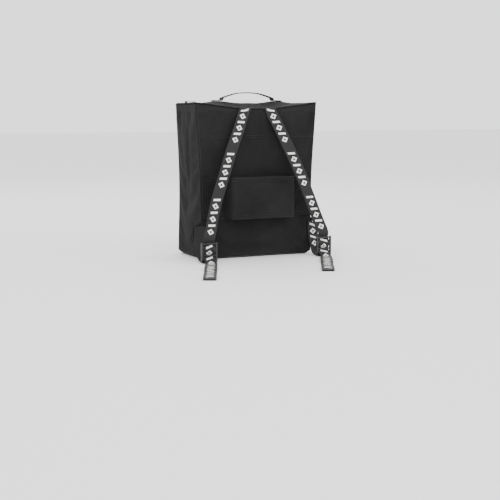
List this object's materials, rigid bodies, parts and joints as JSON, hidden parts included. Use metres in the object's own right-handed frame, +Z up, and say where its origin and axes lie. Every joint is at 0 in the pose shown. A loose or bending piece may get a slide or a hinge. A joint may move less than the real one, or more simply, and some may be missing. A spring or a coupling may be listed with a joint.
{
  "type": "weekender bag",
  "caption": "Upright soft zip-top bag with a carry handle, webbing shoulder straps on plastic ladder locks and a raised trolley sleeve across its back.",
  "frame": {"origin": "centre of the base, on the surface that the bag stands on", "axes": "+Z up, -Y out of the back panel that carries the sleeve and the straps, +X to the right of someone facing that panel"},
  "size_m": [0.4464, 0.4616, 0.408],
  "materials": {
    "cloth": "matt woven",
    "printed_webbing": "woven webbing with pale printed marks",
    "handle_webbing": "woven webbing",
    "gloss_plastic": "moulded, glossy",
    "zip_tape": "woven tape",
    "zip_coil": "moulded coil",
    "zip_metal": "black enamel",
    "board": "plain board",
    "foam": "closed-cell foam"
  },
  "bodies": {
    "bag": {"anchor_tab_left": "cloth", "anchor_tab_right": "cloth", "anchor_webbing_left": "printed_webbing", "anchor_webbing_right": "printed_webbing", "back_foam": "foam", "back_panel": "cloth", "base_board": "board", "base_panel": "cloth", "front_panel": "cloth", "gusset_left": "cloth", "gusset_right": "cloth", "handle_tab_left": "handle_webbing", "handle_tab_right": "handle_webbing", "ladder_lock_left": "gloss_plastic", "ladder_lock_right": "gloss_plastic", "shoulder_strap_left": "printed_webbing", "shoulder_strap_right": "printed_webbing", "sleeve_band": "cloth", "strap_tail_left": "printed_webbing", "strap_tail_right": "printed_webbing", "top_panel": "cloth", "zip_coil_back": "zip_coil", "zip_end_left": "zip_tape", "zip_end_right": "zip_tape", "zip_tape_back": "zip_tape"},
    "flap": {"top_flap": "cloth", "zip_tape_front": "zip_tape", "zip_coil_front": "zip_coil"},
    "slider": {"zip_slider": "zip_metal"},
    "pull": {"zip_pull": "zip_metal"},
    "handle": {"carry_handle": "handle_webbing"}
  },
  "joints": [
    {"name": "flap_hinge", "type": "hinge", "parent": "bag", "child": "flap", "pos_m": [0, 0.053, 0.3785], "axis": [-1, 0, 0], "range_deg": [0, 170]},
    {"name": "zip_slide", "type": "slide", "parent": "bag", "child": "slider", "axis": [1, 0, 0], "range_m": [0, 0.307]},
    {"name": "pull_hinge", "type": "hinge", "parent": "slider", "child": "pull", "pos_m": [-0.1535, 0.01, 0.3847], "axis": [0, -1, 0], "range_deg": [0, 180]},
    {"name": "handle_lean", "type": "hinge", "parent": "bag", "child": "handle", "pos_m": [0, -0.016, 0.3918], "axis": [1, 0, 0], "range_deg": [-35, 35]}
  ]
}
